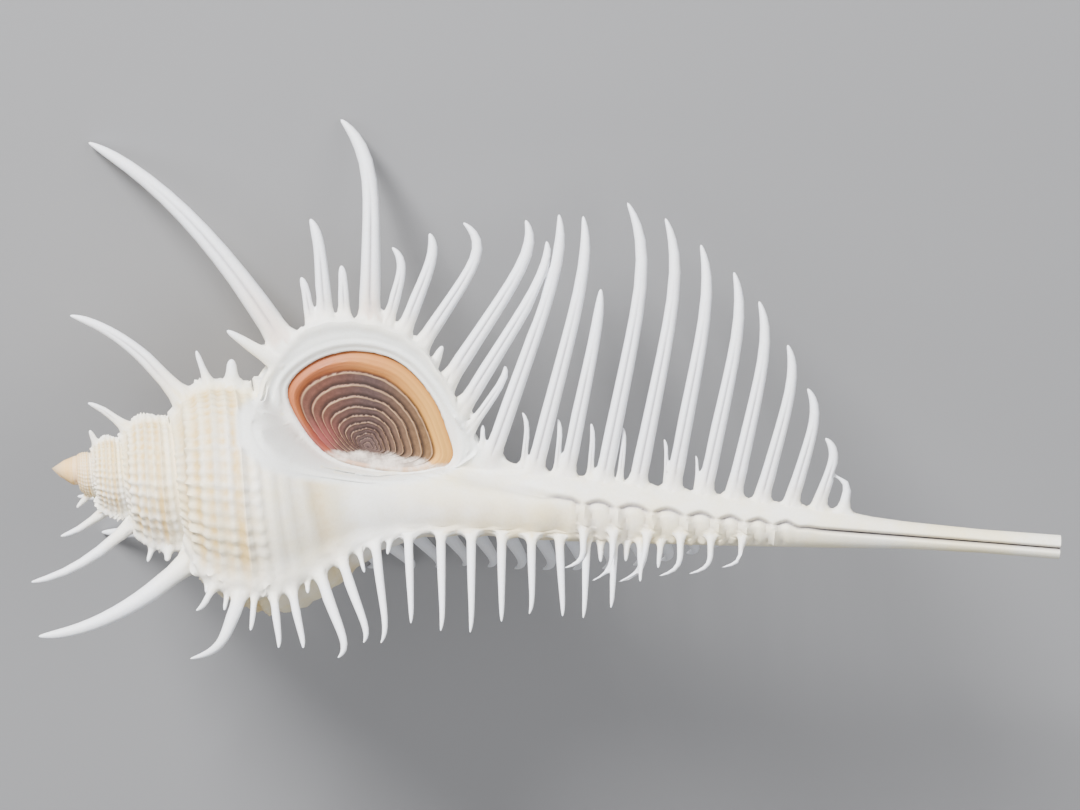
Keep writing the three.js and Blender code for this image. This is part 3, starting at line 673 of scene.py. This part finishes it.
def lips_and_clearing():
    """The lips round the aperture as a closed ring, and the space in front of and inside them as a cutter."""
    angles = np.arange(LIP_COLUMNS) * 2 * np.pi / LIP_COLUMNS
    mouth = polar(catmull_rom(APERTURE, 16, closed=True))[0]

    crest_rows = catmull_rom(OUTLINE, 24)
    crest_rows = crest_rows[(crest_rows[:, 0] > LIP_FROM) & (crest_rows[:, 0] < LIP_TO)]
    u, radius = line_at(crest_rows, np.full(len(crest_rows), 1.0))
    extra = lip_extra(u)
    frill = 0.22 * np.sin(u * 1.9) + 0.14 * np.sin(u * 4.3 + 1)
    # Past the aperture the crest follows the canal's own surface.
    free = 1 - smoothstep(50.5, 54.5, u)
    rim = np.stack([u, radius + extra + frill * smoothstep(28, 32, u), free, np.zeros_like(u)], 1)[::-1]
    inner = []
    for iu, iv, rise in INNER_LIP:
        q, h = seen_from_front(iu, iv)
        inner.append((iu, q, 0.0, rise))
    # The outline goes up the outer lip from the canal, over to the suture, and back along the inner lip.
    outline = catmull_rom(np.concatenate([rim[:: max(1, len(rim) // 40)], np.array(inner)]), 6, closed=True)
    edge, outer_share, rise = polar(outline)
    kernel = np.array([1, 2, 3, 4, 5, 4, 3, 2, 1]) / 25
    outer_share = np.clip(outer_share, 0, 1)
    edge = np.convolve(np.concatenate([edge[-4:], edge, edge[:4]]), kernel, "valid")

    cos, sin = np.cos(angles), np.sin(angles)

    def uq(rho):
        return APERTURE_MIDDLE[0] + rho * cos, APERTURE_MIDDLE[1] + rho * sin

    steps = np.linspace(0, 1, 15) ** 1.15
    field = np.zeros((len(steps), LIP_COLUMNS))
    for k, s in enumerate(steps):
        u, q = uq(mouth + 0.35 + (edge - mouth - 0.35) * s)
        gap = (edge - mouth) * s
        proud = 0.62 * smoothstep(0.1, 1.1, gap) + 0.45 * smoothstep(0.5, 0.9, s)
        proud = proud - 0.4 * smoothstep(0.9, 1, s)
        proud = proud - (0.16 + 0.06 * np.sin(angles * 60)) * bump(gap, 1.55, 0.28)
        outer = -0.25 + proud * (1 - 0.7 * smoothstep(49, 55, u))
        parietal = body_height(u, q)
        reach = np.minimum(0.8 * (edge - mouth), 5.5)
        climb = smoothstep(0, 1, gap / np.maximum(reach, 0.5))
        ridge = rise * smoothstep(0.68, 0.88, s) * (1 - smoothstep(0.9, 1.0, s))
        # The glaze of the inner lip stands a little over the body and sinks into it at its edge.
        lift = np.interp(s, [0, 0.4, 0.75, 0.9, 1.0], [0, 0.2, 0.14, 0.02, -0.15])
        # Near the canal the glaze follows the trough that leads down to the slit.
        sink = 0.9 * smoothstep(52.0, 54.5, u) * smoothstep(0.35, 0.8, s)
        inside = -0.35 + (parietal + 0.35) * climb + lift + ridge - sink
        field[k] = outer_share * outer + (1 - outer_share) * inside

    # Smooth round the ring, so that the two profiles meet softly.
    weights = (1, 2, 3, 4, 3, 2, 1)
    for _ in range(3):
        field = sum(w * np.roll(field, shift, axis=1) for shift, w in zip(range(-3, 4), weights)) / 16

    ring = Solid()
    section = []

    def level(rho, h, **values):
        u, q = uq(rho)
        section.append((on_plane(u, q, h), traits_of((LIP_COLUMNS,), **values)))

    flat = np.zeros(LIP_COLUMNS)
    level(mouth + 0.02, flat - 3.4, glaze=1)
    level(mouth + 0.0, flat - 1.6, glaze=1)
    level(mouth + 0.02, flat - 0.75, glaze=1)
    level(mouth + 0.14, field[0] - 0.12, glaze=1)
    for k, s in enumerate(steps):
        fade = 1 - smoothstep(0.55, 0.95, s) * outer_share
        blush = 0.22 * (1 - outer_share) * (1 - smoothstep(0.05, 0.4, s))
        level(mouth + 0.35 + (edge - mouth - 0.35) * s, field[k], glaze=fade, varix=1 - fade, pink=blush)
    level(edge + 0.05, field[-1] - 0.35, glaze=1 - outer_share, varix=outer_share)
    level(edge - 0.15, field[-1] - 0.9 - 0.4 * outer_share, varix=outer_share)
    level(edge - 0.9, field[-1] - 2.6, varix=outer_share)
    level(edge * 0.5 + (mouth + 1.2) * 0.5 - 0.3, np.minimum(field[-1] - 4.2, -3.8))
    level(mouth + 0.9, flat - 4.6)
    for points, traits in section:
        ring.add(points, traits)
    ring.skin(len(section), LIP_COLUMNS, closed=True)

    cutter = Solid()
    # On the inner lip's side the cut stops where the glaze still stands over the body.
    reach = np.where(outer_share > 0.5, 1.0, 0.80)
    reach = np.convolve(np.concatenate([reach[-4:], reach, reach[:4]]), kernel, "valid")
    cut_edge = mouth + 0.35 + (edge - mouth - 0.7) * reach
    cut_height = [np.interp(reach[i], steps, field[:, i]) for i in range(LIP_COLUMNS)]
    levels = [(cut_edge, np.full(LIP_COLUMNS, 16.0)), (cut_edge, np.array(cut_height) - 0.3)]
    for k in range(len(steps) - 4, -1, -2):
        levels.append((mouth + 0.35 + (cut_edge - mouth - 0.35) * steps[k], field[k] - 0.35))
    levels.append((mouth + 0.3, flat - 1.0))
    levels.append((mouth + 0.3, flat - 3.2))
    for rho, h in levels:
        u, q = uq(rho)
        cutter.add(on_plane(u, q, h), traits_of((LIP_COLUMNS,)))
    top = cutter.add([on_plane(*APERTURE_MIDDLE, 16.0)], traits_of((1,)))
    floor = cutter.add([on_plane(*APERTURE_MIDDLE, -3.2)], traits_of((1,)))
    cutter.skin(len(levels), LIP_COLUMNS)
    cutter.cap(0, LIP_COLUMNS, top)
    cutter.cap(len(levels) - 1, LIP_COLUMNS, floor)
    return ring, cutter, mouth, angles


# Growth rings of the operculum, as shares of the way from its nucleus to its edge.
RINGS = np.array([0.055, 0.10, 0.15, 0.205, 0.27, 0.345, 0.43, 0.53, 0.645, 0.765])
LID_TRAITS = ("share", "lamella", "east", "film", "rose")


def operculum(mouth, angles):
    """A horny plate of overlapping growth rings round a low nucleus, with its shader traits."""
    solid = Solid()
    edge = mouth - OPERCULUM_GAP
    u = APERTURE_MIDDLE[0] + edge * np.cos(angles)
    q = APERTURE_MIDDLE[1] + edge * np.sin(angles)
    shares = np.concatenate([np.linspace(0.015, 0.80, 118), np.linspace(0.81, 1.0, 20)])
    upward = np.sin(np.arctan2(q - NUCLEUS[1], u - NUCLEUS[0]))
    lid_traits = []

    def level(s, h, lamella, share=None):
        pu, pq = NUCLEUS[0] + s * (u - NUCLEUS[0]), NUCLEUS[1] + s * (q - NUCLEUS[1])
        solid.add(on_plane(pu, pq, h), np.zeros((len(angles), len(TRAITS))))
        film = smoothstep(5.7, 4.5, pq + 0.2 * np.sin(pu * 1.7) + 0.008 * (pu - 41) ** 2)
        share = np.full(len(angles), s) if share is None else share
        rose = smoothstep(10.0, 6.0, pq) * smoothstep(37.6, 34.4, pu)
        lid_traits.append(np.stack([share, lamella + 0 * share, (pu - 40.5) / 11, film, rose], axis=1))

    for s in shares:
        ripple = 0.008 * np.sin(angles * 3 + 6 * s) + 0.003 * np.sin(angles * 8 + 15 * s)
        ripple = ripple + 0.0012 * np.sin(angles * 21)
        # The plain rim is narrower towards the spire.
        west = np.clip(s * (NUCLEUS[0] - u) / 8, 0, 1)
        t = s * (1 - 0.09 * west * (1 - smoothstep(0.85, 1.0, s)))
        t = t + ripple * smoothstep(0.0, 0.15, s) * (1 - smoothstep(0.75, 0.85, s))
        ring = np.searchsorted(RINGS, t)
        low = np.where(ring > 0, RINGS[np.maximum(ring - 1, 0)], 0.0)
        high = np.where(ring < len(RINGS), RINGS[np.minimum(ring, len(RINGS) - 1)], 1.0)
        # Each lamella rises to a ridge at its outer edge and drops into a groove.
        x = np.clip((t - low) / (high - low), 0, 1)
        inner = ring < len(RINGS)
        strength = smoothstep(-0.5, 0.2, upward) * smoothstep(0.04, 0.2, s)
        relief = np.where(inner, 0.34 * x**2.5 * (1 - smoothstep(0.92, 1.0, x)), 0) * strength
        rolled = 0.62 * smoothstep(0.765, 0.86, t) * (1 - 0.8 * smoothstep(0.88, 1.0, t) ** 1.5)
        fold = 0.10 * bump(t, 0.885, 0.012) * strength
        dish = 0.3 * smoothstep(0.2, 0.8, s)
        height = relief + rolled * (0.35 + 0.65 * strength) + fold + dish - OPERCULUM_RECESS
        level(s, height, np.where(inner, x, 0.0), t)
    back_face = -OPERCULUM_RECESS - OPERCULUM_THICKNESS
    for s, h in ((1.0, -OPERCULUM_RECESS - 0.3), (1.0, back_face), (0.6, back_face), (0.2, back_face)):
        level(s, h, 0.0)
    n = len(angles)
    count = len(solid.points) // n
    top = solid.add([on_plane(*NUCLEUS, -OPERCULUM_RECESS)], traits_of((1,)))
    bottom = solid.add([on_plane(*NUCLEUS, back_face)], traits_of((1,)))
    lid_traits.append(np.zeros((2, len(LID_TRAITS))))
    solid.skin(count, n)
    solid.cap(0, n, top)
    solid.cap(count - 1, n, bottom)
    return solid, np.concatenate(lid_traits)


# ---------------------------------------------------------------- meshes and booleans

NORMAL = Vector((math.sin(PITCH), -math.cos(PITCH) * math.sin(ROLL), math.cos(PITCH) * math.cos(ROLL)))
AHEAD = (Vector((1, 0, 0)) - NORMAL * NORMAL.x).normalized()
SIDE = NORMAL.cross(AHEAD)
TURN = Matrix((AHEAD, SIDE, NORMAL))


def object_of(name, solid):
    mesh = bpy.data.meshes.new(name)
    mesh.from_pydata([tuple(p) for p in solid.points], [], [tuple(int(i) for i in f) for f in solid.faces])
    mesh.update()
    bm = bmesh.new()
    bm.from_mesh(mesh)
    loose = [v for v in bm.verts if not v.link_faces]
    bmesh.ops.delete(bm, geom=loose, context="VERTS")
    bmesh.ops.triangulate(bm, faces=bm.faces)
    bmesh.ops.recalc_face_normals(bm, faces=bm.faces)
    bm.to_mesh(mesh)
    bm.free()
    obj = bpy.data.objects.new(name, mesh)
    bpy.context.scene.collection.objects.link(obj)
    return obj


def combine(target, others, operation):
    """target joined with, or cut by, the others, which go away."""
    group = bpy.data.collections.new("operands")
    for other in others:
        group.objects.link(other)
    modifier = target.modifiers.new("combine", "BOOLEAN")
    modifier.operation = operation
    modifier.solver = "MANIFOLD"
    modifier.operand_type = "COLLECTION"
    modifier.collection = group
    depsgraph = bpy.context.evaluated_depsgraph_get()
    mesh = bpy.data.meshes.new_from_object(target.evaluated_get(depsgraph))
    target.modifiers.clear()
    target.data = mesh
    for other in others:
        bpy.data.objects.remove(other)
    bpy.data.collections.remove(group)


def soften_joins(obj, joins, rings=2, rounds=8):
    """Small fillets: vertices on and near the lines of each join move towards their neighbours."""
    mesh = obj.data
    points = np.zeros(len(mesh.vertices) * 3)
    mesh.vertices.foreach_get("co", points)
    points = points.reshape(-1, 3)
    edges = np.zeros(len(mesh.edges) * 2, int)
    mesh.edges.foreach_get("vertices", edges)
    one, two = edges.reshape(-1, 2).T
    near = joins.astype(float)
    for _ in range(rings):
        wider = near.copy()
        np.maximum.at(wider, one, near[two] * 0.75)
        np.maximum.at(wider, two, near[one] * 0.75)
        near = wider
    neighbours = np.zeros(len(points))
    np.add.at(neighbours, one, 1)
    np.add.at(neighbours, two, 1)
    for _ in range(rounds):
        mean = np.zeros_like(points)
        np.add.at(mean, one, points[two])
        np.add.at(mean, two, points[one])
        mean /= neighbours[:, None]
        points += 0.5 * near[:, None] * (mean - points)
    mesh.vertices.foreach_set("co", points.ravel())
    mesh.update()


def store_traits(obj, names, values):
    """Each named column of values as an attribute that the materials read."""
    for k, name in enumerate(names):
        layer = obj.data.attributes.new(name, "FLOAT", "POINT")
        layer.data.foreach_set("value", values[:, k].astype(np.float32))


shell_solid = body()
ring_solid, cutter_solid, mouth_radii, mouth_angles = lips_and_clearing()
spine_solids = all_spines()
operculum_solid, operculum_traits = operculum(mouth_radii, mouth_angles)

shell = object_of("shell_visual", shell_solid)
combine(shell, [object_of("cutter", cutter_solid)], "DIFFERENCE")
combine(shell, [object_of("lips", ring_solid)], "UNION")
combine(shell, [object_of("spine", one) for one in spine_solids], "UNION")

# Each vertex of the joined mesh takes its traits from the nearest vertex of the pieces it was made of.
sources = [shell_solid, ring_solid, *spine_solids]
source_points = np.concatenate([np.array(s.points) for s in sources])
source_traits = np.concatenate([np.array(s.traits) for s in sources])
tree = kdtree.KDTree(len(source_points))
for i, p in enumerate(source_points):
    tree.insert(Vector(p), i)
tree.balance()
found = [tree.find(v.co)[1] for v in shell.data.vertices]
store_traits(shell, TRAITS, source_traits[found])

soften_joins(shell, np.array([tree.find(v.co)[2] for v in shell.data.vertices]) > 1e-3)

lid = object_of("operculum_visual", operculum_solid)
store_traits(lid, LID_TRAITS, operculum_traits)

# Onto the CAD frame: the operculum's box says where.
MM = 0.001


def to_world(obj, offset):
    obj.data.transform(Matrix.Translation(offset) @ Matrix.Scale(MM, 4) @ TURN.to_4x4())
    obj.data.update()


corners = np.array([TURN @ v.co for v in lid.data.vertices]) * MM
low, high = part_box("operculum")
offset = (Vector(low) + Vector(high)) / 2 - Vector((corners.min(0) + corners.max(0)) / 2)
lowest = min((TURN @ v.co).z for v in shell.data.vertices) * MM
offset.z = -lowest
to_world(shell, offset)
to_world(lid, offset)
for obj in (shell, lid):
    for polygon in obj.data.polygons:
        polygon.use_smooth = True
    obj.data.set_sharp_from_angle(angle=math.radians(55))

# ---------------------------------------------------------------- materials


class Graph:
    """A material's nodes, with short ways to make and join them."""

    def __init__(self, name):
        self.material = bpy.data.materials.new(name)
        self.material.use_nodes = True
        self.nodes, self.links = self.material.node_tree.nodes, self.material.node_tree.links
        self.shader = self.nodes["Principled BSDF"]

    def join(self, sockets_and_values):
        for socket, value in sockets_and_values:
            if isinstance(value, bpy.types.NodeSocket):
                self.links.new(value, socket)
            else:
                socket.default_value = value

    def mix(self, factor, a, b, blend="MIX"):
        node = self.nodes.new("ShaderNodeMix")
        node.data_type = "RGBA"
        node.blend_type = blend
        self.join(((node.inputs[0], factor), (node.inputs[6], a), (node.inputs[7], b)))
        return node.outputs[2]

    def maths(self, operation, *values):
        node = self.nodes.new("ShaderNodeMath")
        node.operation = operation
        self.join(zip(node.inputs, values))
        return node.outputs[0]

    def trait(self, name):
        node = self.nodes.new("ShaderNodeAttribute")
        node.attribute_name = name
        return node.outputs["Fac"]

    def cloud(self, scale, detail=6.0, rough=0.6):
        node = self.nodes.new("ShaderNodeTexNoise")
        coords = self.nodes.new("ShaderNodeTexCoord").outputs["Object"]
        settings = {"Vector": coords, "Scale": scale, "Detail": detail, "Roughness": rough}
        self.join((node.inputs[name], value) for name, value in settings.items())
        return node.outputs["Fac"]

    def ramp(self, factor, *stops):
        """A colour ramp. Each stop is its position and a grey, or a position and a colour."""
        node = self.nodes.new("ShaderNodeValToRGB")
        while len(node.color_ramp.elements) < len(stops):
            node.color_ramp.elements.new(0.5)
        for element, (position, colour) in zip(node.color_ramp.elements, stops):
            element.position = position
            element.color = (*colour, 1) if isinstance(colour, tuple) else (colour, colour, colour, 1)
        self.links.new(factor, node.inputs["Fac"])
        return node.outputs["Color"]

    def bumps(self, height, strength, distance):
        node = self.nodes.new("ShaderNodeBump")
        settings = {"Height": height, "Strength": strength, "Distance": distance}
        self.join((node.inputs[name], value) for name, value in settings.items())
        self.links.new(node.outputs["Normal"], self.shader.inputs["Normal"])


CREAM = (0.90, 0.81, 0.56, 1)
WHITE = (0.91, 0.90, 0.86, 1)
TAN = (0.70, 0.46, 0.13, 1)
COOL = (0.84, 0.86, 0.92, 1)
PINK = (0.74, 0.52, 0.42, 1)
GLAZE = (0.87, 0.88, 0.85, 1)
ORANGE = (0.80, 0.47, 0.15, 1)
# Dark grey for painted shade in the slit, the trough and the spines' grooves.
RECESS_SHADE = (0.30, 0.28, 0.30, 1)


def shell_material():
    g = Graph("shell")
    trait = g.trait
    broad, patchy, grain = g.cloud(90, 4), g.cloud(420, 5), g.cloud(2600, 6)
    colour = g.mix(g.ramp(broad, (0.35, 0), (0.65, 1)), CREAM, WHITE)
    # This trait holds the shell's own tan and, on its back, painted shade.
    tan = g.maths("MULTIPLY", trait("tan"), g.maths("MULTIPLY_ADD", patchy, 1.3, 0.15))
    colour = g.mix(g.maths("MINIMUM", tan, 0.85), colour, TAN)
    colour = g.mix(g.maths("MULTIPLY", trait("varix"), 0.7), colour, WHITE)
    # The dark grey layer is painted shade in the canal's slit and trough and in the spines' grooves.
    layers = {"warm": ORANGE, "cool": COOL, "glaze": GLAZE, "pink": PINK, "seam": RECESS_SHADE}
    for name, tint in layers.items():
        colour = g.mix(trait(name), colour, tint)
    speck = g.ramp(grain, (0.32, (0.90, 0.88, 0.84)), (0.55, 1))
    colour = g.mix(0.5, colour, g.mix(1.0, colour, speck, "MULTIPLY"))
    rough = g.maths("MULTIPLY_ADD", trait("glaze"), -0.22, 0.52)
    inputs = g.shader.inputs
    rough = g.maths("MULTIPLY_ADD", grain, 0.12, rough)
    g.join(((inputs["Base Color"], colour), (inputs["Roughness"], rough)))
    inputs["Specular IOR Level"].default_value = 0.42
    inputs["Subsurface Weight"].default_value = 0.08
    inputs["Subsurface Radius"].default_value = (0.0022, 0.0016, 0.0011)
    plain_part = g.maths("SUBTRACT", 1.0, trait("glaze"))
    g.bumps(g.maths("MULTIPLY", g.maths("ADD", grain, patchy), plain_part), 0.25, 0.00012)
    return g.material


HORN_CENTRE = (0.078, 0.046, 0.042, 1)
HORN_LEFT = (0.120, 0.048, 0.034, 1)
HORN_RIGHT = (0.150, 0.080, 0.032, 1)
HORN_RIDGE = (0.46, 0.29, 0.17, 1)
HORN_GROOVE = (0.020, 0.011, 0.008, 1)
RIM_LEFT = (0.40, 0.125, 0.045, 1)
RIM_TOP = (0.50, 0.20, 0.050, 1)
RIM_RIGHT = (0.60, 0.31, 0.070, 1)
FILM = (0.64, 0.56, 0.50, 1)
ROSE = (0.25, 0.050, 0.050, 1)


def operculum_material():
    g = Graph("operculum")
    broad, fibre = g.cloud(260, 4), g.cloud(1700, 6, 0.7)
    east, share, lamella = g.trait("east"), g.trait("share"), g.trait("lamella")
    to_left = g.maths("SMOOTH_MIN", g.maths("MULTIPLY_ADD", east, -1.7, -0.15), 1.0, 0.1)
    to_left = g.ramp(to_left, (0.0, 0), (0.8, 1))
    to_right = g.ramp(east, (0.05, 0), (0.75, 1))
    horn = g.mix(to_right, g.mix(to_left, HORN_CENTRE, HORN_LEFT), HORN_RIGHT)
    horn = g.mix(0.55, horn, g.mix(1.0, horn, g.ramp(fibre, (0.3, 0.5), (0.7, 1.5)), "MULTIPLY"))
    ridge = g.ramp(lamella, (0.79, 0), (0.90, 1), (0.95, 0.7), (1.0, 0))
    ridge = g.maths("MULTIPLY", ridge, g.maths("MULTIPLY_ADD", broad, 1.7, -0.05))
    # The oldest rings, round the nucleus, are worn and dark.
    ridge = g.maths("MULTIPLY", ridge, g.ramp(share, (0.08, 0.25), (0.36, 1)))
    inner = g.ramp(share, (0.76, 1), (0.80, 0))
    groove = g.maths("MULTIPLY", g.ramp(lamella, (0.0, 1), (0.14, 0.9), (0.42, 0)), inner)
    horn = g.mix(g.maths("MULTIPLY", groove, 0.85), horn, HORN_GROOVE)
    horn = g.mix(g.maths("MINIMUM", ridge, 1.0), horn, HORN_RIDGE)
    rim = g.mix(to_right, g.mix(to_left, RIM_TOP, RIM_LEFT), RIM_RIGHT)
    # Darker lines run along the rim.
    lines = g.ramp(
        share, (0.77, (0.42, 0.36, 0.3)), (0.80, (0.95, 0.9, 0.85)), (0.835, 1), (0.862, (0.8, 0.74, 0.68)),
        (0.88, 1), (0.925, (0.88, 0.85, 0.8)), (0.94, 1), (1.0, (0.7, 0.6, 0.5)),
    )
    colour = g.mix(inner, g.mix(1.0, rim, lines, "MULTIPLY"), horn)
    rose = g.maths("MULTIPLY", g.trait("rose"), 0.9)
    colour = g.mix(rose, colour, g.mix(0.80, colour, ROSE))
    film = g.maths("MULTIPLY_ADD", g.maths("SUBTRACT", fibre, 0.5), 1.4, g.trait("film"))
    film = g.ramp(film, (0.3, 0), (0.9, 1))
    # The film is thin, and the horn shows through it in patches.
    film = g.maths("MULTIPLY", film, g.ramp(g.cloud(620, 4), (0.40, 0.45), (0.60, 1)))
    inputs = g.shader.inputs
    rough = g.maths("MULTIPLY_ADD", fibre, 0.25, 0.40)
    g.join(((inputs["Base Color"], g.mix(film, colour, FILM)), (inputs["Roughness"], rough)))
    inputs["Specular IOR Level"].default_value = 0.28
    g.bumps(fibre, 0.35, 0.0001)
    return g.material


for obj, material in ((shell, shell_material()), (lid, operculum_material())):
    obj.data.materials.clear()
    obj.data.materials.append(material)
    obj.data.polygons.foreach_set("material_index", np.zeros(len(obj.data.polygons), np.int32))
for piece, node in ((shell, "shell"), (lid, "operculum")):
    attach(piece, "root")
    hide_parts(node)

# ---------------------------------------------------------------- floor, light and camera


def matte(name, colour, roughness=0.9):
    g = Graph(name)
    g.shader.inputs["Base Color"].default_value = colour
    g.shader.inputs["Roughness"].default_value = roughness
    return g.material


def floor_object():
    mesh = bpy.data.meshes.new("floor")
    half = 3.0
    around = [(-half, -half, 0), (half, -half, 0), (half, half, 0), (-half, half, 0)]
    mesh.from_pydata(around, [], [(0, 1, 2, 3)])
    obj = bpy.data.objects.new("floor", mesh)
    bpy.context.scene.collection.objects.link(obj)
    mesh.materials.append(matte("floor", (0.30, 0.30, 0.31, 1)))
    return obj


floor_object()


def world_of(direction):
    return TURN @ Vector(direction)


def world_point(u, v, w=0.0):
    return TURN @ Vector((u, v, w)) * MM + offset


def area_light(name, direction, distance, size, watts, colour=(1, 1, 1)):
    """A soft light in a direction given in the shell's own frame, aimed at the middle of the shell."""
    data = bpy.data.lights.new(name, "AREA")
    data.shape = "DISK"
    data.size = size
    data.energy = watts
    data.color = colour
    obj = bpy.data.objects.new(name, data)
    bpy.context.scene.collection.objects.link(obj)
    ray = world_of(direction).normalized()
    obj.location = world_point(50, 6) + ray * distance
    obj.rotation_euler = ray.to_track_quat("Z", "Y").to_euler()
    return obj


CAMERA_LENS = 180
SENSOR = 36
VIEW_WIDTH = 0.1386
IMAGE_MIDDLE = (62.1, 13.0)
AXIS_SLOPE = math.radians(4.47)


def set_camera():
    data = bpy.data.cameras.new("camera")
    data.lens = CAMERA_LENS
    data.sensor_width = SENSOR
    data.clip_start = 0.01
    obj = bpy.data.objects.new("camera", data)
    bpy.context.scene.collection.objects.link(obj)
    right = world_of((math.cos(AXIS_SLOPE), math.sin(AXIS_SLOPE), 0))
    up = world_of((-math.sin(AXIS_SLOPE), math.cos(AXIS_SLOPE), 0))
    back = right.cross(up)
    distance = VIEW_WIDTH * CAMERA_LENS / SENSOR
    at = world_point(*IMAGE_MIDDLE) + back * distance
    rotation = Matrix((right, up, back)).transposed().to_4x4()
    obj.matrix_world = Matrix.Translation(at) @ rotation
    bpy.context.scene.camera = obj


set_camera()
# The camera's axes in the shell's own frame.
BACK_OWN, UP_OWN, RIGHT_OWN = Vector((0, 0, 1)), Vector((0, 1, 0)), Vector((1, 0, 0))
area_light("key", BACK_OWN + 0.65 * UP_OWN - 0.55 * RIGHT_OWN, 0.9, 0.30, 27.0)
area_light("fill", BACK_OWN + 0.15 * UP_OWN + 0.95 * RIGHT_OWN, 1.0, 0.8, 4.8)
area_light("low", BACK_OWN - 0.9 * UP_OWN - 0.2 * RIGHT_OWN, 1.0, 0.9, 2.8)

world = bpy.data.worlds.new("studio")
world.use_nodes = True
world.node_tree.nodes["Background"].inputs[0].default_value = (0.95, 0.97, 1.0, 1)
world.node_tree.nodes["Background"].inputs[1].default_value = 0.35
bpy.context.scene.world = world
